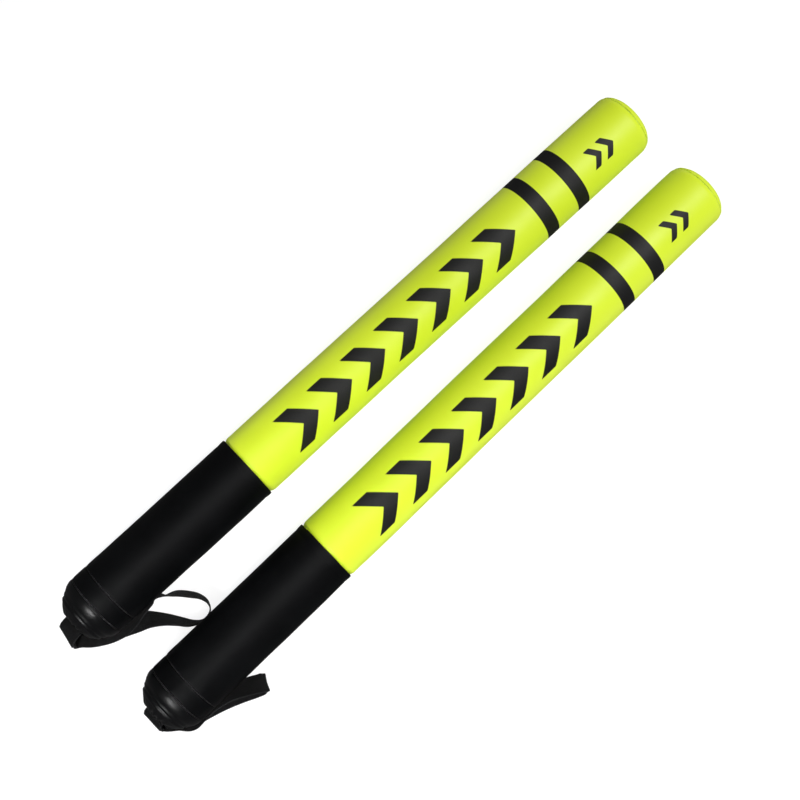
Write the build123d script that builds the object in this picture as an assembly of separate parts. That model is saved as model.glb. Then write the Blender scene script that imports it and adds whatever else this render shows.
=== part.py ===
from build123d import *
import os
from math import acos, asin, cos, degrees, radians, sin, sqrt

# A pair of padded focus training sticks, lying side by side with their wrist straps folded under them.
#
# The row frame: +X runs along the sticks to their tips, +Y across the pair to the left stick, +Z up,
# with the sticks resting on z = 0. Each piece is made in its own stick's frame, where x = 0 is the
# butt end and the stick's centre line is at y = 0, and is then placed in the row frame.

# Driving dimensions, millimetres and degrees
stick_length = 600.0
stick_radius = 27.5
barrel_radius = 27.4
grip_end = 178.2
butt_seam = 21.5
grip_seam = 36.0
tip_seam = 591.5

butt_flat_radius = 12.0
butt_corner_length = 21.0
butt_corner_fullness = 0.395
tip_corner_radius = 11.0
tip_crown = 2.2

cover_thickness = 1.2
butt_cover_thickness = 1.4
layer_gap = 0.2
seam_gap = 0.8
thread_radius = 0.35
cover_tuck = 10.0

core_radius = 12.5
core_bore_radius = 10.0
core_start = 21.5
core_end = 576.0
plug_head = 1.5
plug_shank = 12.0
plug_clearance = 0.05

patch_radius = 12.0
patch_thickness = 1.5

webbing_width = 18.0
webbing_thickness = 1.1
widest_cut = 1.05
tail_thickness = 2.6
slot_width = webbing_width + 0.8
slot_height = tail_thickness + 0.6
tail_inside = 15.0
fold_gap = 0.3
fold_height = 3.2

# How the pair lies: the sticks come a little closer together towards their tips.
butt_spacing = 93.5
tip_spacing = 82.4
stick_heading = degrees(asin((butt_spacing - tip_spacing) / 2 / stick_length))
butt_x = -290.7
middle_y = 9.9

# Where each strap folds back under its stick, in the stick's frame: the fold line's middle, and the
# angle from the stick's crosswise direction to the fold line.
left_fold = (-14.5, -1.3)
left_fold_angle = -14.0
right_fold = (-8.8, -1.6)
right_fold_angle = 0.0

# Routes of the wrist loops, in the stick's frame. Each station of the webbing's middle line is
# x, y, how far its lowest edge is off the ground, the direction that its width points in seen from
# above, and how far the width tilts up from level.
left_loop_route = [
    (-14.2, -1.5, 0.0, -104, 0),
    (-0.5, -10.4, 0.0, -120, 0),
    (13.5, -18.3, 0.0, -119, 2),
    (24.0, -23.0, 0.0, -117, 8),
    (34.0, -28.6, 0.05, -121, 22),
    (43.0, -35.0, 0.15, -126, 44),
    (51.0, -42.6, 0.1, -132, 58),
    (58.0, -51.0, 0.05, -137, 67),
    (63.5, -58.0, 0.05, -138, 72),
    (69.0, -61.8, 0.05, -122, 78),
    (75.5, -62.8, 0.05, -90, 83),
    (81.5, -60.4, 0.05, -50, 82),
    (84.0, -54.6, 0.05, -10, 80),
    (82.4, -47.4, 0.05, 15, 78),
    (77.4, -40.4, 0.1, 35, 76),
    (71.0, -33.6, 0.25, 42, 79),
    (63.0, -28.6, 0.5, -75, 85),
    (56.0, -23.2, 0.5, -84, 60),
    (48.0, -22.2, 0.9, -90, 48),
    (40.0, -22.2, 1.3, -98, 36),
    (32.0, -22.8, 1.5, -105, 24),
    (22.0, -22.2, 1.5, -113, 12),
    (13.5, -19.4, 1.3, -118, 4),
    (-0.5, -11.4, 1.4, -120, 2),
    (-14.2, -1.5, 1.4, -104, 0),
]
right_loop_route = [
    (-8.5, -1.8, 0.0, -90, 0),
    (-1.0, -5.0, 0.0, -108, 0),
    (6.5, -10.2, 0.0, -118, 0),
    (14.0, -16.8, 0.05, -122, 0),
    (25.0, -19.8, 0.05, -113, 2),
    (41.0, -24.8, 0.05, -112, 5),
    (57.0, -31.4, 0.05, -112, 8),
    (66.5, -36.0, 0.05, -113, 14),
    (72.0, -38.8, 0.5, -114, 19),
    (74.6, -39.6, 2.6, -115, 24),
    (73.4, -38.6, 5.0, -115, 29),
    (67.5, -35.2, 5.6, -114, 37),
    (57.0, -29.6, 3.6, -112, 44),
    (46.0, -25.2, 1.9, -111, 47),
    (35.0, -22.8, 1.5, -110, 46),
    (24.0, -21.6, 1.5, -113, 36),
    (14.0, -20.0, 1.3, -118, 18),
    (6.5, -12.4, 1.25, -120, 4),
    (-1.0, -6.2, 1.35, -110, 2),
    (-8.5, -1.8, 1.4, -90, 0),
]


def profile_corner(wall):
    """The round of the butt, from the flat end out to the side, set in by the wall's thickness."""
    length = (butt_corner_length - wall) * butt_corner_fullness
    height = (stick_radius - butt_flat_radius - wall) * butt_corner_fullness
    end = (wall, butt_flat_radius)
    side = (butt_corner_length, stick_radius - wall)
    return Bezier(end, (end[0], end[1] + height), (side[0] - length, side[1]), side)


def turned(profile):
    """A solid of revolution about the stick's centre line."""
    solid = revolve(make_face(profile), Axis.X)
    return Pos(0, 0, stick_radius) * solid


def tip_corner_centre():
    """The centre of the arc that rounds the tip's edge, along the stick and out from its centre line."""
    return (stick_length - tip_crown - tip_corner_radius, barrel_radius - tip_corner_radius)


def tip_arc(radius, x_seam, beyond_seam):
    """Part of the tip's rounded edge: from the very end back to the seam, or from there on to the side."""
    centre = tip_corner_centre()
    seam_angle = degrees(acos((x_seam - centre[0]) / radius))
    if beyond_seam:
        return CenterArc(centre, radius, 0, seam_angle)
    return CenterArc(centre, radius, seam_angle, 90 - seam_angle)


def ring(x_start, x_end, r_in, r_out):
    """A plain tube about the stick's centre line."""
    corners = [(x_start, r_in), (x_end, r_in), (x_end, r_out), (x_start, r_out)]
    return turned(Polyline(*corners, close=True))


def disc(x_start, x_end, radius):
    """A plain disc about the stick's centre line."""
    return ring(x_start, x_end, 0, radius)


def strap_slot(x_start, x_end):
    """The flat hole that the strap's tail passes through."""
    block = Box(x_end - x_start, slot_width, slot_height)
    return Pos((x_start + x_end) / 2, 0, stick_radius) * block


def core_tube():
    return ring(core_start, core_end, core_bore_radius, core_radius)


def core_plug(tube_end, inward):
    """A plug pressed into one end of the core tube; inward is the direction into the tube."""
    head_x = sorted((tube_end, tube_end - inward * plug_head))
    shank_x = sorted((tube_end, tube_end + inward * plug_shank))
    head = disc(*head_x, core_radius)
    shank = disc(*shank_x, core_bore_radius - plug_clearance)
    return head + shank


def foam_sleeve():
    """The foam tube on the core, cut back where the barrel cover is tucked under the grip cover."""
    inner = core_radius + 0.1
    outer = stick_radius - cover_thickness - layer_gap
    tucked = outer - cover_thickness
    start = core_start - plug_head
    end = core_end + plug_head
    tuck_start = grip_end - cover_tuck - 2
    tuck_end = grip_end + 2
    corners = [
        (start, inner),
        (end, inner),
        (end, outer),
        (tuck_end, outer),
        (tuck_end, tucked),
        (tuck_start, tucked),
        (tuck_start, outer),
        (start + 4, outer),
        (start, outer - 0.6),
    ]
    return turned(Polyline(*corners, close=True))


def tip_pad():
    """The thick foam disc between the core's end and the tip's cover."""
    start = core_end + plug_head + layer_gap
    end = stick_length - tip_crown - cover_thickness - layer_gap
    outer = stick_radius - cover_thickness - layer_gap
    corner = tip_corner_radius - cover_thickness
    corners = [(start, 0), (end, 0), (end, outer - corner), (end - corner, outer), (start, outer)]
    return turned(Polyline(*corners, close=True))


def butt_pad():
    """The domed foam block in the butt, with a slot for the strap's tail."""
    wall = butt_cover_thickness + layer_gap
    start = wall + patch_thickness + layer_gap
    end = core_start - plug_head - layer_gap
    outside = disc(0, end, stick_radius - 2)
    dome = turned(
        profile_corner(wall)
        + Polyline(
            (butt_corner_length, stick_radius - wall),
            (butt_corner_length, 0),
            (wall, 0),
            (wall, butt_flat_radius),
        )
    )
    pad = dome & outside
    return pad - disc(0, start, patch_radius + 1) - strap_slot(0, tail_inside + 0.5)


def anchor_patch():
    """The stiff disc inside the butt cap that the strap's tail is sewn to."""
    start = butt_cover_thickness + 0.1
    plain = disc(start, start + patch_thickness, patch_radius)
    return plain - strap_slot(start - 1, start + patch_thickness + 1)


def barrel_cover():
    """The long sleeve over the striking end; its lower edge is tucked under the grip cover."""
    tuck_outer = stick_radius - cover_thickness - 0.1
    tuck_inner = tuck_outer - cover_thickness + 0.2
    inner = barrel_radius - cover_thickness + 0.1
    step_start = grip_end + 0.2
    end = tip_seam - seam_gap / 2
    rim = tip_arc(tip_corner_radius, end, False)
    lining = tip_arc(tip_corner_radius - cover_thickness + 0.1, end, False)
    tucked = [
        rim @ 1,
        (step_start, barrel_radius),
        (step_start, tuck_outer),
        (grip_end - cover_tuck, tuck_outer),
        (grip_end - cover_tuck, tuck_inner),
        (step_start + 1, tuck_inner),
        (step_start + 1, inner),
        lining @ 1,
    ]
    return turned(Curve() + [rim, Polyline(*tucked), lining, Line(lining @ 0, rim @ 0)])


def tip_cap():
    """The end disc, slightly crowned, with its rim turned down to the seam."""
    start = tip_seam + seam_gap / 2
    corner_x, corner_r = tip_corner_centre()
    inner_radius = tip_corner_radius - cover_thickness
    back_x = corner_x + inner_radius
    rim = tip_arc(tip_corner_radius, start, True)
    lining = tip_arc(inner_radius, start, True)
    crown_radius = (corner_r**2 + tip_crown**2) / (2 * tip_crown)
    crown_angle = degrees(asin(corner_r / crown_radius))
    crown = CenterArc((stick_length - crown_radius, 0), crown_radius, 0, crown_angle)
    outline = [
        crown,
        rim,
        Line(rim @ 1, lining @ 1),
        lining,
        Polyline((back_x, corner_r), (back_x, 0), (stick_length, 0)),
    ]
    return turned(Curve() + outline)


def grip_cover():
    """The black sleeve over the handle."""
    start = grip_seam + seam_gap / 2
    return ring(start, grip_end, stick_radius - cover_thickness, stick_radius)


def butt_collar():
    """The short black panel between the two seams near the butt."""
    start = butt_seam + seam_gap / 2
    end = grip_seam - seam_gap / 2
    return ring(start, end, stick_radius - cover_thickness, stick_radius)


def butt_cap():
    """The domed black end, with the slot that the wrist strap comes out of."""
    wall = butt_cover_thickness
    end = butt_seam - seam_gap / 2
    outer = profile_corner(0)
    inner = profile_corner(wall)
    outline = [
        outer,
        Polyline((butt_corner_length, stick_radius), (end, stick_radius), (end, stick_radius - wall)),
        Line((end, stick_radius - wall), (butt_corner_length, stick_radius - wall)),
        inner,
        Polyline((wall, butt_flat_radius), (wall, 0), (0, 0), (0, butt_flat_radius)),
    ]
    return turned(Curve() + outline) - strap_slot(-1, wall + 1)


def tip_seam_radius():
    """How far the leather's surface is from the stick's centre line at the tip's seam."""
    corner_x, corner_r = tip_corner_centre()
    return corner_r + sqrt(tip_corner_radius**2 - (tip_seam - corner_x) ** 2)


def seam_thread(x_seam, radius):
    """A ring of sewing thread in the bottom of a seam."""
    hoop = Torus(radius - seam_gap, thread_radius)
    return Pos(x_seam, 0, stick_radius) * Rot(0, 90, 0) * hoop


def along(route_points, index):
    """The direction of a route at one of its points."""
    before = route_points[max(index - 1, 0)]
    after = route_points[min(index + 1, len(route_points) - 1)]
    return (after - before).normalized()


def triangle(a, b, c):
    return Face(Wire.make_polygon([a, b, c]))


def webbing(points, widths, thickness):
    """Flat webbing through the given points, each with the direction of the webbing's width."""
    sections = []
    for index, point in enumerate(points):
        tangent = along(points, index)
        across = widths[index] - tangent * widths[index].dot(tangent)
        edge = widths[index] * (webbing_width / 2 * min(1 / across.length, widest_cut))
        skin = tangent.cross(across.normalized()) * (thickness / 2)
        corners = [point - edge - skin, point + edge - skin, point + edge + skin, point - edge + skin]
        sections.append(corners)
    faces = [Face(Wire.make_polygon(sections[0])), Face(Wire.make_polygon(sections[-1]))]
    for near, far in zip(sections, sections[1:]):
        for corner in (0, 1):
            following = corner + 1
            faces.append(triangle(near[corner], near[following], far[following]))
            faces.append(triangle(near[corner], far[following], far[corner]))
        for corner in (2, 3):
            following = (corner + 1) % 4
            faces.append(triangle(near[corner], near[following], far[corner]))
            faces.append(triangle(near[following], far[following], far[corner]))
    return Solid(Shell(faces))


def wrist_loop(route):
    """The free loop of the wrist strap, from the fold out to its far end and back on top of itself."""
    points = []
    widths = []
    for x, y, lift, azimuth, tilt in route:
        half_height = webbing_width / 2 * sin(radians(tilt)) + webbing_thickness / 2 * cos(radians(tilt))
        points.append(Vector(x, y, lift + half_height))
        level = cos(radians(tilt))
        widths.append(
            Vector(level * cos(radians(azimuth)), level * sin(radians(azimuth)), sin(radians(tilt)))
        )
    return webbing(points, widths, webbing_thickness)


def strap_tail(fold, fold_angle):
    """The doubled webbing from inside the butt, out of its slot and down to the fold."""
    fold_x, fold_y = fold
    inward = Vector(cos(radians(fold_angle)), sin(radians(fold_angle)), 0)
    half = tail_thickness / 2
    foot_z = fold_height + fold_gap
    foot = Vector(fold_x, fold_y, foot_z) + inward * (half + fold_gap)
    reach = foot.X
    points = [
        Vector(tail_inside, 0, stick_radius),
        Vector(1.5, 0, stick_radius),
        Vector(-0.6, 0, stick_radius - 0.1),
        Vector(reach * 0.55, fold_y * 0.3, stick_radius - 1.6),
        Vector(reach * 0.86, fold_y * 0.6, stick_radius - 5.5),
        Vector(reach - 0.4, fold_y * 0.8, stick_radius - 12.5),
        Vector(reach - 0.3, fold_y, foot_z + 4.5),
        foot,
    ]
    crosswise = Vector(0, -1, 0)
    folded = Vector(sin(radians(fold_angle)), -cos(radians(fold_angle)), 0)
    turn = (0, 0, 0, 0.2, 0.5, 0.8, 1, 1)
    widths = [crosswise + (folded - crosswise) * share for share in turn]
    return webbing(points, widths, tail_thickness)


def stick_pieces(fold, fold_angle, loop_route):
    """Every piece of one stick, by name, in the stick's own frame."""
    return {
        "core_tube": core_tube(),
        "core_plug_butt": core_plug(core_start, 1),
        "core_plug_tip": core_plug(core_end, -1),
        "foam_sleeve": foam_sleeve(),
        "foam_pad_tip": tip_pad(),
        "foam_pad_butt": butt_pad(),
        "barrel_cover": barrel_cover(),
        "tip_cap": tip_cap(),
        "tip_seam_thread": seam_thread(tip_seam, tip_seam_radius()),
        "grip_cover": grip_cover(),
        "butt_collar": butt_collar(),
        "butt_cap": butt_cap(),
        "collar_seam_thread": seam_thread(grip_seam, stick_radius),
        "cap_seam_thread": seam_thread(butt_seam, stick_radius),
        "anchor_patch": anchor_patch(),
        "strap_tail": strap_tail(fold, fold_angle),
        "wrist_loop": wrist_loop(loop_route),
    }


def main():
    os.makedirs("parts", exist_ok=True)
    sticks = {
        "left": (1, left_fold, left_fold_angle, left_loop_route),
        "right": (-1, right_fold, right_fold_angle, right_loop_route),
    }
    for side, (sign, fold, fold_angle, loop_route) in sticks.items():
        butt_y = sign * butt_spacing / 2 + middle_y
        place = Pos(butt_x, butt_y, 0) * Rot(0, 0, -sign * stick_heading)
        for name, piece in stick_pieces(fold, fold_angle, loop_route).items():
            export_step(place * piece, f"parts/{side}_{name}.step")
        hinge = place * Pos(fold[0], fold[1], fold_height) * Rot(0, 0, fold_angle)
        axis = Plane(hinge).y_dir
        print(side, "fold at", hinge.position, "along", axis)


main()
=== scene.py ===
from math import asin, cos, pi, radians, sin, tan

import bpy
import numpy as np
from mathutils import Matrix, Vector


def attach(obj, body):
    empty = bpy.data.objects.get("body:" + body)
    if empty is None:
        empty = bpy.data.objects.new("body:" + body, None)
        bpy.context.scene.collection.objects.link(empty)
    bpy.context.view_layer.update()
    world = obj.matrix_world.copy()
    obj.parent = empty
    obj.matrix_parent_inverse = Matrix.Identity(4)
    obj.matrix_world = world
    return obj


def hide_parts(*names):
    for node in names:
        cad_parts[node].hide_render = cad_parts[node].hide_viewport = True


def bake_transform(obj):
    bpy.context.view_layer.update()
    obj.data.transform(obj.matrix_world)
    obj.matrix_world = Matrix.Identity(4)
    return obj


# The looks of a pair of padded focus training sticks. Each piece is worked out in its own stick's frame, in
# millimetres: x from the butt end along the stick, y across, z up, with the centre line at y = 0. The angle
# theta goes round the stick from the top, positive towards +y.

BUTT_X = -290.7
MIDDLE_Y = 9.9
BUTT_SPACING = 93.5
TIP_SPACING = 82.4
LENGTH = 600.0
RADIUS = 27.5
BARREL = 27.4
GRIP_SEAM = 36.0
CAP_SEAM = 21.5
TIP_SEAM = 591.5
TIP_CORNER = 11.0
TIP_CROWN = 2.2
TIP_CENTRE = (LENGTH - TIP_CROWN - TIP_CORNER, BARREL - TIP_CORNER)
TIP_STITCHES = 58
FLAT_RADIUS = 12.0
DOME_LENGTH = 21.0
DOME_FULLNESS = 1.25
BUTT_STITCHES = 56
STITCH_PITCH = 4.2
COVER_WALL = 1.2
CAP_WALL = 1.4
INSIDE = 26.3
HEADING = asin((BUTT_SPACING - TIP_SPACING) / 2 / LENGTH)

WEBBING_WIDTH = 18.0
WEBBING_THICKNESS = 1.1
LAYER_OFFSET = 0.64
SLOT_HALF = (9.4, 1.6)

# The print: the middle and half width of each band, and the two rows of chevrons, each with its first
# middle, its pitch, its count and its half size. The rows lie beside the stick's top.
BANDS = [(485.05, 6.15), (518.9, 6.1)]
PRINT_SIDE = -9.4
CHEVRON = [(-1, 1), (-0.05, 1), (1, 0), (-0.05, -1), (-1, -1), (0.05, 0)]
CHEVRON_ROWS = [(231.0, 35.0, 7, (16.5, 17.5)), (546.0, 13.0, 2, (6.5, 9.0))]
NO_INK = 50.0

# How each strap lies: where its tail turns down outside the slot, its fold line (middle and angle), the angle
# from straight at which the loop leaves the fold, and the stations of the loop, from the fold out and back. A
# station is x, y, lift of the lowest edge, azimuth of the width, tilt of the width, and, where the webbing is
# pinched, how much of its width shows.
STRAPS = {
    "left": {
        "turn": -1.6,
        "fold": (-14.5, -1.3),
        "angle": -14.0,
        "leave": 16.0,
        "route": [
            (-0.5, -10.4, 0.0, -120, 0),
            (13.5, -18.3, 0.0, -119, 2),
            (24.0, -23.0, 0.0, -117, 8),
            (34.0, -28.6, 0.05, -121, 22),
            (43.0, -35.0, 0.15, -126, 44),
            (51.0, -42.6, 0.1, -132, 58),
            (58.0, -51.0, 0.05, -137, 67),
            (63.5, -58.0, 0.05, -138, 72),
            (69.0, -61.8, 0.05, -122, 78),
            (75.5, -62.8, 0.05, -90, 83),
            (81.5, -60.4, 0.05, -50, 82),
            (84.0, -54.6, 0.05, -10, 80),
            (82.4, -47.4, 0.05, 15, 78),
            (77.4, -40.4, 0.1, 35, 76),
            (71.0, -33.6, 0.25, 42, 79),
            (63.0, -28.6, 0.5, -75, 85),
            (56.0, -23.2, 0.5, -84, 60),
            (48.0, -22.2, 0.9, -90, 48),
            (40.0, -22.2, 1.3, -98, 36),
            (32.0, -22.8, 1.5, -105, 24),
            (22.0, -22.2, 1.5, -113, 12),
            (13.5, -19.4, 1.3, -118, 4),
            (-0.5, -11.4, 1.4, -120, 2),
        ],
    },
    "right": {
        "turn": -1.0,
        "fold": (-8.8, -1.6),
        "angle": 0.0,
        "leave": 24.0,
        "route": [
            (-1.0, -5.0, 0.0, -108, 0),
            (6.5, -10.2, 0.0, -118, 0),
            (14.0, -16.8, 0.05, -122, 0),
            (25.0, -19.8, 0.05, -113, 2),
            (41.0, -24.8, 0.05, -112, 5),
            (57.0, -31.4, 0.05, -112, 8),
            (66.5, -36.0, 0.05, -113, 14),
            (72.0, -38.8, 0.5, -114, 19, 0.94),
            (74.6, -39.6, 2.6, -115, 24, 0.8),
            (73.4, -38.6, 5.0, -115, 29, 0.93),
            (67.5, -35.2, 5.6, -114, 37),
            (57.0, -29.6, 3.6, -112, 44),
            (46.0, -25.2, 1.9, -111, 47),
            (35.0, -22.8, 1.5, -110, 46),
            (24.0, -21.6, 1.5, -113, 36),
            (14.0, -20.0, 1.3, -118, 18),
            (6.5, -12.4, 1.25, -120, 4),
            (-1.0, -6.2, 1.35, -110, 2),
        ],
    },
}

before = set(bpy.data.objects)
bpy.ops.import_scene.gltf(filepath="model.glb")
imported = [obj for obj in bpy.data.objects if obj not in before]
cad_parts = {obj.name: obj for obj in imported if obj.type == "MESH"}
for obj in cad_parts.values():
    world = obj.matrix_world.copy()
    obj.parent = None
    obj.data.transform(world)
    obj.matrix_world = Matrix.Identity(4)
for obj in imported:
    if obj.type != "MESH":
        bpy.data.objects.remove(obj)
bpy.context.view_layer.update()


# ---- mesh helpers ----------------------------------------------------------------------------------


def to_row(side, points):
    """Points in a stick's frame, in millimetres, as points in the row frame, in metres."""
    sign = 1 if side == "left" else -1
    turn = -sign * HEADING
    x = points[:, 0] * cos(turn) - points[:, 1] * sin(turn) + BUTT_X
    y = points[:, 0] * sin(turn) + points[:, 1] * cos(turn) + sign * BUTT_SPACING / 2 + MIDDLE_Y
    return np.stack([x, y, points[:, 2]], axis=1) / 1000


def add_mesh(name, side, points, faces, material, attributes=None):
    """A smooth mesh object in the row frame from points in the stick's frame."""
    mesh = bpy.data.meshes.new(name)
    mesh.from_pydata(to_row(side, points).tolist(), [], faces)
    mesh.validate()
    mesh.polygons.foreach_set("use_smooth", np.ones(len(mesh.polygons), dtype=bool))
    for label, values in (attributes or {}).items():
        kind = "FLOAT_VECTOR" if values.ndim == 2 else "FLOAT"
        data = mesh.attributes.new(label, kind, "POINT").data
        data.foreach_set("vector" if values.ndim == 2 else "value", values.astype(np.float32).ravel())
    mesh.materials.append(material)
    obj = bpy.data.objects.new(name, mesh)
    bpy.context.scene.collection.objects.link(obj)
    return obj


def uneven(x, theta, seed, wavelength, lobes, count=7):
    """Smooth, repeatable unevenness of about plus or minus one over the stick's surface."""
    rng = np.random.RandomState(seed)
    total = np.zeros(np.broadcast(x, theta).shape)
    for _ in range(count):
        around = rng.randint(0, lobes + 1)
        along = rng.uniform(0.35, 1.0) * 2 * pi / wavelength
        shifts = rng.uniform(0, 2 * pi, 2)
        total += np.cos(around * theta + shifts[0]) * np.cos(along * x + shifts[1])
    return total / (count / 2) ** 0.5


def bump(value, centre, width):
    """One at the centre, falling smoothly to nothing over about twice the width."""
    return np.exp(-(((value - centre) / width) ** 2))


def ramp(value, start, end):
    """Nothing before start, one after end, smooth between."""
    t = np.clip((value - start) / (end - start), 0, 1)
    return t * t * (3 - 2 * t)


def strip(points, step, outside=1.0):
    """Rows of (x, r, outside, slot share) along a broken line, no more than about step apart."""
    rows = []
    for a, b in zip(points, points[1:]):
        count = max(1, int(round(np.hypot(b[0] - a[0], b[1] - a[1]) / step)))
        for i in range(count):
            t = i / count
            rows.append((a[0] + (b[0] - a[0]) * t, a[1] + (b[1] - a[1]) * t, outside, 0.0))
    rows.append((points[-1][0], points[-1][1], outside, 0.0))
    return rows


def slot_reach(theta):
    """How far the slot's edge is from the stick's centre line in direction theta."""
    across = SLOT_HALF[0] / np.maximum(np.abs(np.sin(theta)), 1e-6)
    upward = SLOT_HALF[1] / np.maximum(np.abs(np.cos(theta)), 1e-6)
    sharp = 14.0
    return (across**-sharp + upward**-sharp) ** (-1 / sharp)


def turned(name, side, rows, segments, material, relief=None, closed=True, fields=None):
    """A skin round the stick's centre line. relief moves each point by (dx, dr); an open skin is closed
    at both ends with a point on the centre line."""
    rows = np.array(rows, dtype=float)
    x, r, outside, slot = (column[:, None] for column in rows.T)
    theta = np.linspace(-pi, pi, segments, endpoint=False)[None, :]
    x, theta = x + 0 * theta, theta + 0 * x
    r = (1 - slot) * r + slot * slot_reach(theta)
    if relief is not None:
        dx, dr = relief(x, theta, r)
        x = x + outside * dx
        r = r + outside * dr
    y = r * np.sin(theta)
    z = RADIUS + r * np.cos(theta)
    z = np.where(outside > 0, np.maximum(z, 0.03), np.maximum(z, 0.3))
    points = np.stack([x, y, z], axis=2).reshape(-1, 3)
    count = len(rows)
    faces = []
    for i in range(count if closed else count - 1):
        near = i * segments
        far = (i + 1) % count * segments
        for j in range(segments):
            k = (j + 1) % segments
            faces.append((near + j, near + k, far + k, far + j))
    attributes = {}
    if fields is not None:
        distance = RADIUS * theta
        for label, values in fields(x, distance, outside + 0 * x).items():
            attributes[label] = values.reshape(-1)
    if not closed:
        for row, flip in ((0, False), (count - 1, True)):
            ring = range(row * segments, (row + 1) * segments)
            centre = len(points)
            points = np.vstack([points, points[list(ring)].mean(axis=0)])
            for label in attributes:
                attributes[label] = np.append(attributes[label], attributes[label][ring[0]])
            for j in range(segments):
                a, b = ring[j], ring[(j + 1) % segments]
                faces.append((b, a, centre) if not flip else (a, b, centre))
    return add_mesh(name, side, points, faces, material, attributes)


def thread_ring(name, side, x_seam, radius, stitches, lift, material, seed):
    """Sewing thread round a seam: two twisted strands that rise at each stitch and dive between them."""
    rng = np.random.RandomState(seed)
    around = stitches * 8
    section = 10
    theta = np.linspace(-pi, pi, around, endpoint=False)[:, None]
    phi = np.linspace(0, 2 * pi, section, endpoint=False)[None, :]
    wander = np.interp(np.arange(around), np.arange(0, around + 8, 8), rng.uniform(-1, 1, stitches + 1))
    rise = lift * np.clip(np.cos(stitches * theta) + 0.45, 0, 1)
    thick = 0.34 * (1 + 0.22 * np.cos(2 * phi - 3 * stitches * theta))
    x = x_seam + thick * np.cos(phi) + 0.12 * wander[:, None]
    r = radius + rise + thick * np.sin(phi)
    z = np.maximum(RADIUS + r * np.cos(theta), 0.05)
    points = np.stack([x, r * np.sin(theta), z], axis=2).reshape(-1, 3)
    faces = []
    for i in range(around):
        for j in range(section):
            k = (j + 1) % section
            n = (i + 1) % around
            faces.append((i * section + j, i * section + k, n * section + k, n * section + j))
    return add_mesh(name, side, points, faces, material)


def smooth_route(stations, step):
    """Stations of (x, y, z, wx, wy, wz, share of the width) joined by a smooth curve. Also where each station
    comes in it."""
    stations = np.array(stations, dtype=float)
    chord = np.linalg.norm(np.diff(stations[:, :3], axis=0), axis=1)
    at = np.concatenate([[0], np.cumsum(chord)])
    slopes = np.gradient(stations, at, axis=0)
    dense = []
    starts = []
    for i, length in enumerate(chord):
        starts.append(len(dense))
        count = max(2, int(round(length / step)))
        for t in np.arange(count) / count:
            h00 = 2 * t**3 - 3 * t**2 + 1
            h10 = t**3 - 2 * t**2 + t
            h01 = 3 * t**2 - 2 * t**3
            h11 = t**3 - t**2
            dense.append(
                h00 * stations[i]
                + h10 * length * slopes[i]
                + h01 * stations[i + 1]
                + h11 * length * slopes[i + 1]
            )
    starts.append(len(dense))
    dense.append(stations[-1])
    return np.array(dense), starts


def webbing_section():
    """The outline of the webbing's section, across and out of its middle, with ribs and thin edges."""
    columns = np.linspace(-1, 1, 31)
    across = np.sign(columns) * (1 - (1 - np.abs(columns)) ** 1.25) * WEBBING_WIDTH / 2
    inset = WEBBING_WIDTH / 2 - np.abs(across)
    edge = np.clip(1 - (1 - np.clip(inset / 0.6, 0, 1)) ** 2, 0, 1) ** 0.5
    half = WEBBING_THICKNESS / 2 * (0.25 + 0.75 * edge)
    half = half - 0.05 * (1 - np.cos(2 * pi * across / 2.25)) * edge
    lower = np.stack([across, -half], axis=1)
    upper = np.stack([across[::-1], half[::-1]], axis=1)
    return np.vstack([lower, upper])


def webbing(name, side, runs, material):
    """Flat webbing along one or more runs of dense stations. Each run also says how far along it starts."""
    outline = webbing_section()
    size = len(outline)
    points, faces, weave = [], [], []
    for run, start_length in runs:
        base = len(points)
        centre, width, share = run[:, :3], run[:, 3:6], run[:, 6]
        tangent = np.gradient(centre, axis=0)
        tangent /= np.linalg.norm(tangent, axis=1)[:, None]
        width = width - tangent * np.sum(width * tangent, axis=1)[:, None]
        width /= np.linalg.norm(width, axis=1)[:, None]
        normal = np.cross(tangent, width)
        steps = np.linalg.norm(np.diff(centre, axis=0), axis=1)
        length = start_length + np.concatenate([[0], np.cumsum(steps)])
        for i in range(len(run)):
            ripple = 0.04 * cos(2 * pi * length[i] / 1.9)
            for across, out in outline:
                puff = out + np.sign(out) * ripple * (abs(out) > 0.3)
                point = centre[i] + width[i] * across * share[i] + normal[i] * puff
                points.append((point[0], point[1], max(point[2], 0.02)))
                weave.append((length[i], across, 0.0 if out < 0 else 1.0))
        for i in range(len(run) - 1):
            for j in range(size):
                k = (j + 1) % size
                near, far = base + i * size, base + (i + 1) * size
                faces.append((near + j, near + k, far + k, far + j))
        last = base + (len(run) - 1) * size
        faces.append(tuple(range(base + size - 1, base - 1, -1)))
        faces.append(tuple(range(last, last + size)))
    return add_mesh(name, side, np.array(points), faces, material, {"weave": np.array(weave)})


# ---- print -----------------------------------------------------------------------------------------


def polygon_distance(x, y, corners):
    """The distance from a polygon's outline, negative inside it."""
    nearest = np.full(x.shape, 1e9)
    inside = np.zeros(x.shape, dtype=bool)
    for (ax, ay), (bx, by) in zip(corners, corners[1:] + corners[:1]):
        ex, ey = bx - ax, by - ay
        t = np.clip(((x - ax) * ex + (y - ay) * ey) / (ex * ex + ey * ey), 0, 1)
        nearest = np.minimum(nearest, np.hypot(x - ax - t * ex, y - ay - t * ey))
        crosses = (ay > y) != (by > y)
        with np.errstate(divide="ignore", invalid="ignore"):
            side = x < ax + (y - ay) * ex / (ey if ey else 1e-9)
        inside ^= crosses & side
    return np.where(inside, -nearest, nearest)


def placed(shape, centre, half):
    """A shape's corners at a place and half size, in millimetres."""
    return [(centre[0] + x * half[0], centre[1] + y * half[1]) for x, y in shape]


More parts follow.
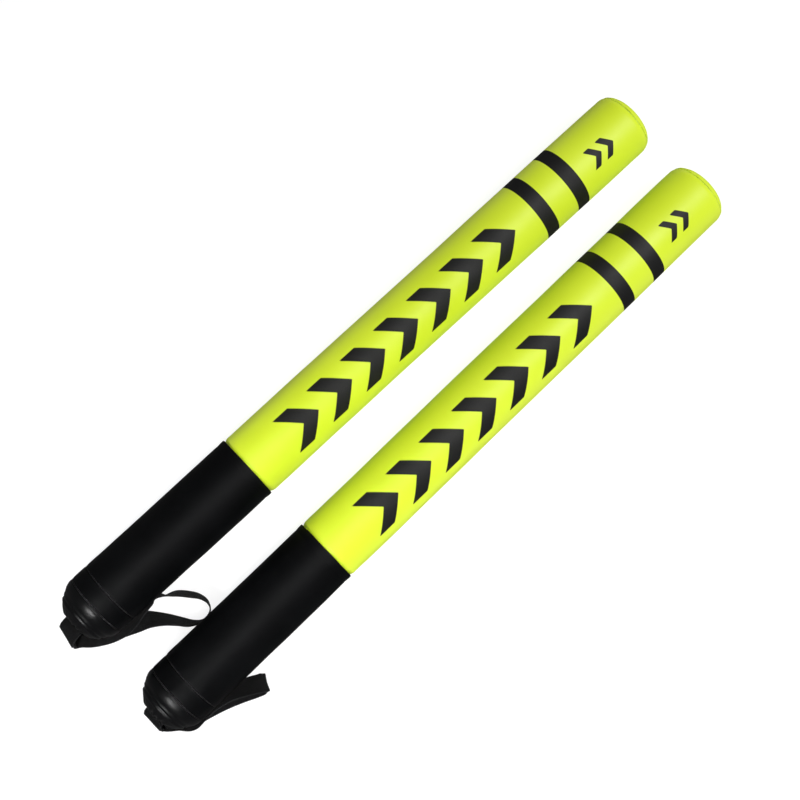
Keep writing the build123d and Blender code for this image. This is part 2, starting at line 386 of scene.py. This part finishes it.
def print_fields(x, distance, outside):
    """Where the ink is on the barrel: negative inside it. Two bands run round the barrel near the tip, and
    plain chevrons point to the tip along its top."""
    ink = np.full(x.shape, NO_INK)
    for middle, half in BANDS:
        ink = np.minimum(ink, np.abs(x - middle) - half)
    for first, pitch, count, half in CHEVRON_ROWS:
        for index in range(count):
            chevron = placed(CHEVRON, (first + pitch * index, PRINT_SIDE), half)
            ink = np.minimum(ink, polygon_distance(x, distance, chevron))
    return {"ink": np.where(outside > 0, ink, NO_INK)}


def no_print(x, distance, outside):
    """A yellow piece with no ink on it."""
    return {"ink": np.full(x.shape, NO_INK)}


# ---- materials -------------------------------------------------------------------------------------


class Look:
    """A procedural material: a Principled shader and the nodes that feed it."""

    def __init__(self, name, roughness=0.5, **constants):
        self.material = bpy.data.materials.new(name)
        self.material.use_nodes = True
        self.tree = self.material.node_tree
        self.tree.nodes.clear()
        output = self.tree.nodes.new("ShaderNodeOutputMaterial")
        self.shader = self.tree.nodes.new("ShaderNodeBsdfPrincipled")
        self.tree.links.new(self.shader.outputs["BSDF"], output.inputs["Surface"])
        self.shader.inputs["Roughness"].default_value = roughness
        for label, value in constants.items():
            self.shader.inputs[label.replace("_", " ")].default_value = value
        self.place = self.tree.nodes.new("ShaderNodeTexCoord").outputs["Object"]

    def node(self, kind, **settings):
        node = self.tree.nodes.new("ShaderNode" + kind)
        for label, value in settings.items():
            setattr(node, label, value)
        return node

    def link(self, source, target):
        self.tree.links.new(source, target)

    def noise(self, scale, detail=3.0, place=None):
        node = self.node("TexNoise")
        node.inputs["Scale"].default_value = scale
        node.inputs["Detail"].default_value = detail
        self.link(place or self.place, node.inputs["Vector"])
        return node.outputs["Fac"]

    def cells(self, scale, feature="F1", place=None):
        node = self.node("TexVoronoi", feature=feature)
        node.inputs["Scale"].default_value = scale
        self.link(place or self.place, node.inputs["Vector"])
        return node.outputs["Distance"]

    def maths(self, operation, a, b=None):
        node = self.node("Math", operation=operation)
        for value, socket in ((a, node.inputs[0]), (b, node.inputs[1])):
            if value is None:
                continue
            if isinstance(value, (int, float)):
                socket.default_value = value
            else:
                self.link(value, socket)
        return node.outputs[0]

    def between(self, value, low, high, out_low=0.0, out_high=1.0):
        node = self.node("MapRange")
        self.link(value, node.inputs["Value"])
        limits = {"From Min": low, "From Max": high, "To Min": out_low, "To Max": out_high}
        for label, number in limits.items():
            node.inputs[label].default_value = number
        return node.outputs["Result"]

    def mix(self, share, a, b):
        node = self.node("Mix", data_type="RGBA")
        self.link(share, node.inputs[0])
        for value, socket in ((a, node.inputs[6]), (b, node.inputs[7])):
            if isinstance(value, tuple):
                socket.default_value = (*value, 1)
            else:
                self.link(value, socket)
        return node.outputs[2]

    def attribute(self, name):
        return self.node("Attribute", attribute_name=name)

    def colour(self, source):
        self.link(source, self.shader.inputs["Base Color"])

    def roughness(self, source):
        self.link(source, self.shader.inputs["Roughness"])

    def relief(self, height, depth, strength=1.0):
        node = self.node("Bump")
        node.inputs["Strength"].default_value = strength
        node.inputs["Distance"].default_value = depth
        self.link(height, node.inputs["Height"])
        self.link(node.outputs["Normal"], self.shader.inputs["Normal"])


def leather_grain(look, scale):
    """Fine pebbles, with faint creases running through them."""
    pebbles = look.cells(scale, "SMOOTH_F1")
    creases = look.cells(scale * 0.38, "DISTANCE_TO_EDGE")
    creases = look.between(creases, 0.0, 0.12)
    return look.maths("ADD", look.maths("MULTIPLY", pebbles, 0.6), look.maths("MULTIPLY", creases, 0.35))


def yellow_leather():
    look = Look("neon_leather", 0.5, Specular_IOR_Level=0.34)
    tone = look.between(look.noise(14.0, 2.0), 0.3, 0.7)
    skin = look.mix(tone, (0.70, 0.87, 0.028), (0.74, 0.91, 0.040))
    ink = look.between(look.attribute("ink").outputs["Fac"], -0.18, 0.18, 1.0, 0.0)
    speckle = look.between(look.noise(900.0, 2.0), 0.2, 0.8)
    black = look.mix(speckle, (0.004, 0.004, 0.004), (0.008, 0.008, 0.0075))
    look.colour(look.mix(ink, skin, black))
    wear = look.between(look.noise(60.0), 0.3, 0.7, 0.44, 0.52)
    look.roughness(look.maths("ADD", wear, look.maths("MULTIPLY", ink, 0.14)))
    look.relief(leather_grain(look, 1500.0), 0.00006, 0.5)
    return look.material


def black_leather(name, smooth, rough, gloss):
    look = Look(name, smooth, Specular_IOR_Level=gloss)
    tone = look.between(look.noise(30.0, 4.0), 0.3, 0.7)
    look.colour(look.mix(tone, (0.0014, 0.0015, 0.0018), (0.0028, 0.0030, 0.0035)))
    look.roughness(look.between(look.noise(45.0, 5.0), 0.3, 0.7, smooth, rough))
    wrinkles = look.maths("MULTIPLY", look.noise(140.0, 4.0), 0.8)
    look.relief(look.maths("ADD", leather_grain(look, 1300.0), wrinkles), 0.00010, 0.5)
    return look.material


def nylon_webbing():
    look = Look("nylon_webbing", 0.6, Sheen_Weight=0.03, Sheen_Roughness=0.4, Specular_IOR_Level=0.16)
    weave = look.attribute("weave").outputs["Vector"]
    split = look.node("SeparateXYZ")
    look.link(weave, split.inputs[0])
    along, across = split.outputs[0], split.outputs[1]
    warp = look.maths("ABSOLUTE", look.maths("SINE", look.maths("MULTIPLY", across, pi / 0.75)))
    slant = look.maths("ADD", along, look.maths("MULTIPLY", across, 0.5))
    weft = look.maths("ABSOLUTE", look.maths("SINE", look.maths("MULTIPLY", slant, pi / 0.95)))
    threads = look.maths("MULTIPLY", look.maths("POWER", warp, 0.6), look.maths("POWER", weft, 0.6))
    tone = look.between(look.noise(160.0), 0.3, 0.7)
    dark = look.mix(tone, (0.0035, 0.0035, 0.0038), (0.0065, 0.0065, 0.007))
    # Painted highlight: the webbing's edges get a lighter colour that stands in for the light they catch.
    painted_edge_highlight = look.between(look.maths("ABSOLUTE", across), 8.1, 8.8)
    woven = look.mix(threads, (0.0015, 0.0015, 0.0016), dark)
    look.colour(look.mix(painted_edge_highlight, woven, (0.012, 0.012, 0.013)))
    look.relief(look.maths("ADD", threads, look.maths("MULTIPLY", look.noise(2500.0), 0.3)), 0.00022, 0.9)
    return look.material


def sewing_thread(name, dark, light):
    look = Look(name, 0.4, Specular_IOR_Level=0.6)
    look.colour(look.mix(look.between(look.noise(900.0), 0.3, 0.7), dark, light))
    look.relief(look.noise(3500.0, 4.0), 0.0001, 0.6)
    return look.material


def foam():
    look = Look("closed_cell_foam", 0.85)
    cells = look.between(look.cells(900.0, "DISTANCE_TO_EDGE"), 0.0, 0.25)
    tone = look.mix(look.noise(30.0), (0.42, 0.42, 0.43), (0.52, 0.52, 0.53))
    look.colour(look.mix(cells, (0.3, 0.3, 0.31), tone))
    look.relief(cells, 0.0003, 0.7)
    return look.material


def hard_plastic(name, low, high):
    look = Look(name, 0.42)
    streaks = look.node("Mapping")
    streaks.inputs["Scale"].default_value = (20.0, 900.0, 900.0)
    look.link(look.place, streaks.inputs["Vector"])
    drawn = look.noise(1.0, 3.0, streaks.outputs["Vector"])
    look.colour(look.mix(look.between(look.noise(40.0), 0.3, 0.7), low, high))
    look.roughness(look.between(drawn, 0.3, 0.7, 0.34, 0.5))
    look.relief(drawn, 0.00005, 0.5)
    return look.material


def pressed_fibre():
    look = Look("pressed_fibre", 0.8)
    strands = look.node("TexWave", bands_direction="DIAGONAL")
    strands.inputs["Scale"].default_value = 260.0
    strands.inputs["Distortion"].default_value = 9.0
    strands.inputs["Detail"].default_value = 4.0
    look.link(look.place, strands.inputs["Vector"])
    look.colour(look.mix(strands.outputs["Fac"], (0.16, 0.11, 0.07), (0.26, 0.19, 0.12)))
    look.relief(strands.outputs["Fac"], 0.0002, 0.5)
    return look.material


LOOKS = {
    "yellow_leather": yellow_leather(),
    "black_leather": black_leather("black_leather", 0.44, 0.54, 0.10),
    "polished_leather": black_leather("polished_black_leather", 0.30, 0.42, 0.28),
    "webbing": nylon_webbing(),
    "yellow_thread": sewing_thread("neon_thread", (0.55, 0.72, 0.03), (0.72, 0.9, 0.09)),
    "black_thread": sewing_thread("black_thread", (0.004, 0.004, 0.0043), (0.011, 0.011, 0.012)),
    "foam": foam(),
    "core_plastic": hard_plastic("core_plastic", (0.5, 0.5, 0.48), (0.6, 0.6, 0.57)),
    "plug_plastic": hard_plastic("plug_plastic", (0.05, 0.05, 0.055), (0.09, 0.09, 0.095)),
    "patch_fibre": pressed_fibre(),
}


# ---- pieces ----------------------------------------------------------------------------------------

SEEDS = {"left": 100, "right": 200}
ROUGH = {"left": 0.55, "right": 1.0}


def seam_pucker(x, theta, at, width, depth, count):
    """The dip of a leather edge at a seam, tighter at each stitch."""
    return -depth * bump(x, at, width) * (0.75 + 0.25 * np.cos(count * theta))


def seam_valley(theta):
    """The dip of the lengthwise seam, along the underside."""
    return -0.45 * bump(RADIUS * (pi - np.abs(theta)), 0.0, 0.8)


def seam_stitches(x, theta):
    """The row of stitches on either side of the lengthwise seam."""
    row = bump(RADIUS * (pi - np.abs(theta)), 2.2, 1.2)
    return 0.16 * row * (0.7 + 0.3 * np.cos(2 * pi * x / STITCH_PITCH))


def barrel_cover(side):
    seed = SEEDS[side]
    mouth = strip([(178.6, 26.15), (179.4, 26.5), (180.3, 27.0), (181.6, 27.32), (183.2, BARREL)], 0.4)
    body = strip([(184.0, BARREL), (TIP_CENTRE[0], BARREL)], 1.1)
    corner = [
        (x, TIP_CENTRE[1] + (TIP_CORNER**2 - (x - TIP_CENTRE[0]) ** 2) ** 0.5, 1.0, 0.0)
        for x in np.linspace(TIP_CENTRE[0] + 0.4, 590.9, 10)
    ]
    roll = strip([(591.2, 26.25), (591.3, 25.9), (591.1, 25.5)], 0.3)
    lining = strip([(590.7, 25.4), (588.8, 26.05), (586.8, INSIDE - 0.1)], 2.0, 0.0)
    lining += strip([(585.0, INSIDE - 0.1), (181.5, INSIDE - 0.1), (180.0, 25.8)], 12.0, 0.0)
    tuck = strip([(179.0, 25.25), (168.2, 25.2), (168.0, 25.7), (168.3, 26.15), (178.0, 26.15)], 3.0, 0.0)

    def relief(x, theta, r):
        body_only = ramp(x, 179.5, 184.0)
        swell = 0.17 * uneven(x, theta, seed, 210.0, 3) + 0.06 * uneven(x, theta, seed + 1, 60.0, 5)
        hug = -0.25 * bump(x, 186.0, 6.0) * (0.5 + 0.5 * uneven(x, theta, seed + 2, 30.0, 7))
        seam = seam_valley(theta) + seam_stitches(x, theta)
        tip = seam_pucker(x, theta, 591.2, 1.4, 0.2, TIP_STITCHES)
        tip += 0.10 * ramp(x, 575.0, 588.0) * uneven(x, theta, seed + 3, 22.0, 6)
        return 0 * x, body_only * (swell + hug + seam) + tip

    rows = mouth + body + corner + roll + lining + tuck
    return turned(
        f"{side}_barrel_cover_skin", side, rows, 216, LOOKS["yellow_leather"], relief, fields=print_fields
    )


def tip_cap(side):
    seed = SEEDS[side] + 10
    corner_x, corner_r = TIP_CENTRE
    crown = (corner_r**2 + TIP_CROWN**2) / (2 * TIP_CROWN)
    rows = [(LENGTH - crown + (crown**2 - r**2) ** 0.5, r, 1.0, 0.0) for r in np.linspace(0.4, corner_r, 28)]
    for angle in np.linspace(3, 61, 22):
        spot = radians(angle)
        rows.append((corner_x + TIP_CORNER * cos(spot), corner_r + TIP_CORNER * sin(spot), 1.0, 0.0))
    rows += strip([(591.9, 25.95), (591.75, 25.6), (591.9, 25.2)], 0.3)
    lining_corner = TIP_CORNER - COVER_WALL
    for angle in np.linspace(57, 0, 10):
        spot = radians(angle)
        lining_r = corner_r + lining_corner * sin(spot) - 0.1
        rows.append((corner_x + lining_corner * cos(spot), lining_r, 0.0, 0.0))
    rows += strip([(corner_x + lining_corner, corner_r - 0.6), (corner_x + lining_corner, 0.4)], 3.0, 0.0)

    def relief(x, theta, r):
        rim = ramp(r, 16.0, 24.0)
        lumps = 0.16 * uneven(r * 3, theta, seed, 90.0, 3)
        ridge = 0.14 * bump(r, 25.4, 0.8) * (0.8 + 0.2 * np.cos(TIP_STITCHES * theta))
        puckers = 0.10 * rim * uneven(r, theta, seed + 1, 40.0, 26, 12) * bump(r, 25.2, 2.6)
        return lumps + ridge * 0.8 + puckers, ridge + puckers

    material = LOOKS["yellow_leather"]
    return turned(f"{side}_tip_cap_skin", side, rows, 216, material, relief, closed=False, fields=no_print)


def grip_cover(side):
    seed = SEEDS[side] + 20
    rough = ROUGH[side]
    foot = strip([(36.75, 26.5), (36.4, 26.85), (36.5, 27.2), (37.0, 27.42), (37.8, RADIUS)], 0.25)
    body = strip([(38.4, RADIUS), (168.0, RADIUS)], 1.3)
    hem = strip(
        [(168.8, RADIUS), (172.0, 27.5), (173.4, 27.62), (175.0, 27.78), (177.0, 27.8), (177.9, 27.66),
         (178.3, 27.3), (178.25, 26.9), (177.8, 26.55)],
        0.45,
    )
    lining = strip([(176.8, INSIDE), (38.0, INSIDE)], 8.0, 0.0)

    def relief(x, theta, r):
        swell = 0.14 * uneven(x, theta, seed, 120.0, 3) + 0.05 * uneven(x, theta, seed + 1, 34.0, 5)
        seam = seam_valley(theta) * ramp(x, 38.0, 42.0) + seam_stitches(x, theta)
        hem_line = -0.16 * bump(x, 171.6, 0.9) * (0.8 + 0.2 * np.cos(60 * theta))
        folds = 0.13 * bump(x, 174.5, 4.0) * uneven(x, theta, seed + 2, 18.0, 13, 10)
        gather = 0.14 * rough * bump(x, 41.0, 5.5) * uneven(x * 0.5, theta, seed + 3, 25.0, 17, 10)
        edge = seam_pucker(x, theta, 36.2, 1.1, 0.22, BUTT_STITCHES)
        return 0.10 * bump(x, 178.0, 1.6) * uneven(x * 0, theta, seed + 4, 30.0, 9), (
            swell + seam + hem_line + folds + gather + edge
        ) * ramp(x, 36.2, 37.2)

    rows = foot + body + hem + lining
    return turned(f"{side}_grip_cover_skin", side, rows, 200, LOOKS["black_leather"], relief)


def butt_collar(side):
    seed = SEEDS[side] + 30
    rough = ROUGH[side]
    rows = strip([(22.4, 26.5), (22.0, 26.85), (22.1, 27.15), (22.6, 27.4)], 0.25)
    rows += strip([(23.2, RADIUS), (34.4, RADIUS)], 0.45)
    rows += strip([(35.0, 27.4), (35.5, 27.15), (35.6, 26.85), (35.2, 26.5)], 0.25)
    rows += strip([(34.4, INSIDE), (23.0, INSIDE)], 3.0, 0.0)

    def relief(x, theta, r):
        swell = 0.16 * uneven(x, theta, seed, 40.0, 4)
        gather = 0.22 * rough * uneven(x * 0.4, theta, seed + 1, 30.0, 19, 11)
        gather = gather * (bump(x, 24.5, 3.2) + 0.6 * bump(x, 34.0, 2.4))
        edges = seam_pucker(x, theta, 22.0, 1.2, 0.25, BUTT_STITCHES)
        edges += seam_pucker(x, theta, 35.6, 1.2, 0.25, BUTT_STITCHES)
        return 0 * x, swell + gather + edges

    return turned(f"{side}_butt_collar_skin", side, rows, 200, LOOKS["black_leather"], relief)


def dome(wall, start, end, count, outside):
    """Rows over the butt's rounded end, from angle start to end, set in by the wall. The round is a little
    flatter than an ellipse."""
    rows = []
    for angle in np.linspace(start, end, count):
        back = abs(cos(radians(angle))) ** DOME_FULLNESS
        out = abs(sin(radians(angle))) ** DOME_FULLNESS
        x = DOME_LENGTH - (DOME_LENGTH - wall) * back
        rows.append((x, FLAT_RADIUS + (RADIUS - FLAT_RADIUS - wall) * out, outside, 0.0))
    return rows


def butt_cap(side):
    seed = SEEDS[side] + 40
    rough = ROUGH[side]
    rows = strip([(20.5, 26.35), (20.95, 26.6), (21.05, 26.95), (20.8, 27.2)], 0.25)
    rows += dome(0.0, 93.5, 180.0, 62, 1.0)
    rows += [(0.0, FLAT_RADIUS, 1.0, share) for share in np.linspace(0.05, 1.0, 16) ** 0.8]
    rows += [(x, FLAT_RADIUS, 0.0, 1.0) for x in (0.5, 1.0, CAP_WALL)]
    rows += [(CAP_WALL, FLAT_RADIUS, 0.0, share) for share in (0.66, 0.33)]
    rows += dome(CAP_WALL, 180.0, 96.0, 16, 0.0)

    def relief(x, theta, r):
        swell = 0.16 * uneven(x, theta, seed, 40.0, 3)
        wander = 0.5 * uneven(x * 0, theta, seed + 5, 30.0, 4)
        groove = -0.6 * bump(x + wander, 8.2, 0.8) * (0.8 + 0.4 * uneven(x * 0, theta, seed + 1, 30.0, 5))
        lip = 0.35 * bump(x + wander, 6.2, 1.0) * (0.8 + 0.4 * uneven(x * 0, theta, seed + 2, 30.0, 6))
        pucker = uneven(x * 0.6, theta, seed + 3, 30.0, 21, 14) * ramp(22.0 - r, 0.0, 9.0)
        gather = uneven(x * 0.5, theta, seed + 4, 26.0, 15, 12) * bump(x, 19.0, 2.2)
        edge = seam_pucker(x, theta, 21.0, 1.3, 0.28, BUTT_STITCHES)
        flat = -0.5 * bump(x, 11.5, 1.6) + 0.25 * bump(x, 16.0, 3.0)
        edge += flat * (0.8 + 0.2 * uneven(x * 0, theta, seed + 6, 30.0, 5))
        clear_of_loop = -0.5 * ramp(np.abs(theta), 1.7, 2.3)
        side_push = groove + lip + 0.18 * rough * gather + swell + edge + clear_of_loop
        end_push = 0.7 * pucker * rough + 0.5 * (groove + lip) * (x < 14)
        mouth = ramp(r, 3.0, 12.5)
        return -end_push * (0.35 + 0.65 * mouth), side_push * mouth

    return turned(f"{side}_butt_cap_skin", side, rows, 216, LOOKS["polished_leather"], relief)


def foam_sleeve(side):
    seed = SEEDS[side] + 50
    rows = strip([(20.2, 12.7), (20.05, 13.2)], 0.5, 0.0)
    rows += strip([(20.0, 25.0), (20.4, 25.5), (24.0, 25.95), (166.0, 26.0)], 4.0)[:-1]
    rows += strip([(166.0, 26.0), (166.3, 24.85), (180.0, 24.85)], 4.0)
    rows += strip([(180.3, 26.0), (576.6, 26.0), (577.3, 25.6), (577.5, 25.0), (577.5, 13.0)], 4.0)
    rows += strip([(577.3, 12.62), (20.6, 12.62)], 24.0, 0.0)

    def relief(x, theta, r):
        return 0 * x, -0.05 + 0.04 * uneven(x, theta, seed, 50.0, 6)

    return turned(f"{side}_foam_sleeve_body", side, rows, 96, LOOKS["foam"], relief)


def foam_pad_tip(side):
    seed = SEEDS[side] + 60
    rows = [(596.2, 0.4, 1.0, 0.0)]
    rows += strip([(596.2, 3.0), (596.2, 16.3)], 2.0)
    for angle in np.linspace(0, 90, 14):
        spot = radians(angle)
        rows.append((586.7 + 9.5 * cos(spot), 16.3 + 9.5 * sin(spot), 1.0, 0.0))
    rows += strip([(585.6, 25.8), (578.6, 25.8), (577.8, 25.4), (577.75, 24.6), (577.7, 0.4)], 2.5)

    def relief(x, theta, r):
        return -0.03 + 0.03 * uneven(x, theta, seed, 30.0, 5), -0.05 + 0.04 * uneven(x, theta, seed, 30.0, 5)

    return turned(f"{side}_foam_pad_tip_body", side, rows, 96, LOOKS["foam"], relief, closed=False)


def foam_pad_butt(side):
    rows = [(15.4, 0.0, 0.0, share) for share in (0.05, 0.4, 0.75)]
    rows += [(x, 0.0, 0.0, 1.0) for x in (15.4, 12.0, 8.0, 3.4)]
    rows += [(3.3, 13.2, 1.0, share) for share in (0.7, 0.35, 0.0)]
    rows += dome(1.9, 176.0, 114.0, 22, 1.0)
    rows += strip([(14.0, 25.2), (19.2, 25.4), (19.75, 24.9), (19.8, 24.0), (19.8, 0.4)], 2.5)

    def relief(x, theta, r):
        return 0 * x, -0.05 + 0.04 * uneven(x, theta, 7, 20.0, 6)

    return turned(f"{side}_foam_pad_butt_body", side, rows, 120, LOOKS["foam"], relief, closed=False)


def strap_stations(side):
    """The whole strap as one run: down the outer layer of the tail, round the fold, out and back along the
    loop, round the fold again and up the tail's inner layer. Also which stations part the pieces."""
    strap = STRAPS[side]
    fold = np.array([*strap["fold"], 0.0])
    angle = radians(strap["angle"])
    inward = np.array([cos(angle), sin(angle), 0.0])
    folded = np.array([sin(angle), -cos(angle), 0.0])
    crosswise = np.array([0.0, -1.0, 0.0])
    foot = fold + inward * 1.6
    middle = [
        (15.0, 0.0, 27.5, 0.0),
        (6.0, 0.0, 27.5, 0.0),
        (0.6, 0.0, 27.5, 0.0),
        (strap["turn"], 0.0, 27.2, 0.05),
        (foot[0] * 0.55, fold[1] * 0.3, 25.9, 0.25),
        (foot[0] * 0.86, fold[1] * 0.6, 21.8, 0.55),
        (foot[0] - 0.2, fold[1] * 0.8, 15.0, 0.8),
        (foot[0] - 0.2, fold[1] * 0.95, 8.0, 1.0),
    ]
    tail = []
    for x, y, z, share in middle:
        width = crosswise + (folded - crosswise) * share
        tail.append([x, y, z, *(width / np.linalg.norm(width)), 1.0])
    tail = np.array(tail)
    tangent = np.gradient(tail[:, :3], axis=0)
    tangent /= np.linalg.norm(tangent, axis=1)[:, None]
    normal = np.cross(tangent, tail[:, 3:6])
    outer, inner = tail.copy(), tail.copy()
    outer[:, :3] += normal * LAYER_OFFSET
    inner[:, :3] -= normal * LAYER_OFFSET
    around_outer = [(0.25, 5.4), (0.15, 3.4), (0.7, 1.7), (2.1, 0.8), (4.4, 0.57)]
    around_inner = [(4.9, 1.98), (3.3, 2.15), (2.25, 3.0), (1.75, 4.4), (1.75, 6.0)]
    loop = []
    for x, y, lift, azimuth, tilt, *share in strap["route"]:
        up, round_ = radians(tilt), radians(azimuth)
        half = WEBBING_WIDTH / 2 * sin(up) + WEBBING_THICKNESS / 2 * cos(up)
        width = (cos(up) * cos(round_), cos(up) * sin(round_), sin(up))
        loop.append([x, y, lift + half, *width, *(share or [1.0])])

    def beside_fold(a, z, start):
        """A station near the fold, a inward of it. Beyond start the webbing turns towards the loop."""
        beyond = max(0.0, a - start)
        turn = radians(strap["leave"]) * min(beyond / 7.0, 1.0)
        place = fold + inward * a + folded * beyond * tan(radians(strap["leave"])) * 0.8 + np.array([0, 0, z])
        return [*place, *(folded * cos(turn) - inward * sin(turn)), 1.0]

    fold_outer = [beside_fold(a, z, 0.7) for a, z in around_outer]
    fold_inner = [beside_fold(a, z, 1.75) for a, z in around_inner]
    stations = [*outer.tolist(), *fold_outer, *loop, *fold_inner, *inner[::-1].tolist()]
    first = len(outer) - 1
    second = first + len(fold_outer)
    third = second + len(loop) + 1
    fourth = third + len(fold_inner)
    return stations, (first, second, third, fourth)


def strap(side):
    """The strap's three pieces: the tail on the stick, the loop that swings, and the fold between them."""
    stations, marks = strap_stations(side)
    dense, starts = smooth_route(stations, 0.75)
    cuts = [0, *(starts[m] for m in marks), len(dense) - 1]
    runs = []
    for start, end in zip(cuts, cuts[1:]):
        before = dense[: start + 1, :3]
        length = float(np.sum(np.linalg.norm(np.diff(before, axis=0), axis=1))) if start else 0.0
        runs.append((dense[start : end + 1], length))
    tail = webbing(f"{side}_strap_tail_webbing", side, [runs[0], runs[4]], LOOKS["webbing"])
    fold = webbing(f"{side}_strap_fold", side, [runs[1], runs[3]], LOOKS["webbing"])
    loop = webbing(f"{side}_wrist_loop_webbing", side, [runs[2]], LOOKS["webbing"])
    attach(tail, f"{side}_stick")
    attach(loop, f"{side}_strap")
    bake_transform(fold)
    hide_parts(f"{side}_strap_tail")
    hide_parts(f"{side}_wrist_loop")


COVERS = {
    "barrel_cover": (barrel_cover, "yellow_leather", 0.97),
    "tip_cap": (tip_cap, "yellow_leather", 0.95),
    "grip_cover": (grip_cover, "black_leather", 0.95),
    "butt_collar": (butt_collar, "black_leather", 0.92),
    "butt_cap": (butt_cap, "black_leather", 0.85),
    "foam_sleeve": (foam_sleeve, "foam", 1.0),
    "foam_pad_tip": (foam_pad_tip, "foam", 1.0),
    "foam_pad_butt": (foam_pad_butt, "foam", 1.0),
}
THREADS = {
    "tip_seam_thread": (TIP_SEAM, 25.6, TIP_STITCHES, 0.25, "yellow_thread"),
    "collar_seam_thread": (GRIP_SEAM, 26.35, BUTT_STITCHES, 0.65, "black_thread"),
    "cap_seam_thread": (CAP_SEAM, 26.35, BUTT_STITCHES, 0.65, "black_thread"),
}
KEPT = {
    "core_tube": "core_plastic",
    "core_plug_butt": "plug_plastic",
    "core_plug_tip": "plug_plastic",
    "anchor_patch": "patch_fibre",
}

for side in ("left", "right"):
    for node, (build, slot, fill) in COVERS.items():
        piece = build(side)
        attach(piece, f"{side}_stick")
        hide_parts(f"{side}_{node}")
    for number, (node, (x_seam, radius, stitches, lift, slot)) in enumerate(THREADS.items()):
        seed = SEEDS[side] + 70 + number
        piece = thread_ring(f"{side}_{node}_twist", side, x_seam, radius, stitches, lift, LOOKS[slot], seed)
        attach(piece, f"{side}_stick")
        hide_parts(f"{side}_{node}")
    for node, slot in KEPT.items():
        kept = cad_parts[f"{side}_{node}"]
        kept.data.materials.clear()
        kept.data.materials.append(LOOKS[slot])
    strap(side)


# ---- stage, light and camera -----------------------------------------------------------------------

FLOOR_REACH = 60.0
FLOOR_DROP = 0.0003
SQUARE = ((-1, -1), (1, -1), (1, 1), (-1, 1))
floor_corners = [(x * FLOOR_REACH, y * FLOOR_REACH, -FLOOR_DROP) for x, y in SQUARE]
floor_mesh = bpy.data.meshes.new("floor")
floor_mesh.from_pydata(floor_corners, [], [(0, 1, 2, 3)])
floor = bpy.data.objects.new("floor", floor_mesh)
bpy.context.scene.collection.objects.link(floor)
pale = Look("pale_floor", 0.9, Specular_IOR_Level=0.1, Emission_Strength=0.85)
pale.shader.inputs["Base Color"].default_value = (0.26, 0.26, 0.26, 1)
pale.shader.inputs["Emission Color"].default_value = (1, 1, 1, 1)
pale.material.cycles.emission_sampling = "NONE"
floor_mesh.materials.append(pale.material)
floor.visible_glossy = False


def softbox(name, place, target, size, power, spread=180):
    """A rectangular soft light at place, facing target, that shines within a cone of the given angle."""
    light = bpy.data.lights.new(name, "AREA")
    light.spread = radians(spread)
    light.shape = "RECTANGLE"
    light.size, light.size_y = size
    light.energy = power
    lamp = bpy.data.objects.new(name, light)
    lamp.location = place
    lamp.rotation_euler = (Vector(target) - Vector(place)).to_track_quat("-Z", "Y").to_euler()
    bpy.context.scene.collection.objects.link(lamp)


softbox("key_softbox", (0.60, -0.42, 1.32), (0.08, 0.0, 0.02), (0.75, 0.75), 18.6)
softbox("butt_softbox", (-0.94, -0.30, 0.98), (-0.30, -0.03, 0.03), (0.85, 0.45), 1.0, 22)

world = bpy.data.worlds.new("studio")
world.use_nodes = True
world.node_tree.nodes["Background"].inputs["Color"].default_value = (1, 1, 1, 1)
world.node_tree.nodes["Background"].inputs["Strength"].default_value = 0.10
bpy.context.scene.world = world
bpy.context.scene.view_settings.view_transform = "Standard"

camera_data = bpy.data.cameras.new("camera")
camera_data.lens = 63.26
camera_data.sensor_width = 36.0
camera_data.clip_start = 0.05
camera_data.clip_end = 200.0
camera = bpy.data.objects.new("camera", camera_data)
camera_turn = Vector((0.1817, -0.0592, -0.7690))
aim = Matrix.Rotation(HEADING, 3, "Z") @ Matrix.Rotation(camera_turn.length, 3, camera_turn.normalized())
camera.matrix_world = Matrix.Translation((-0.1209, -0.1473, 1.1173)) @ aim.to_4x4()
bpy.context.scene.collection.objects.link(camera)
bpy.context.scene.camera = camera
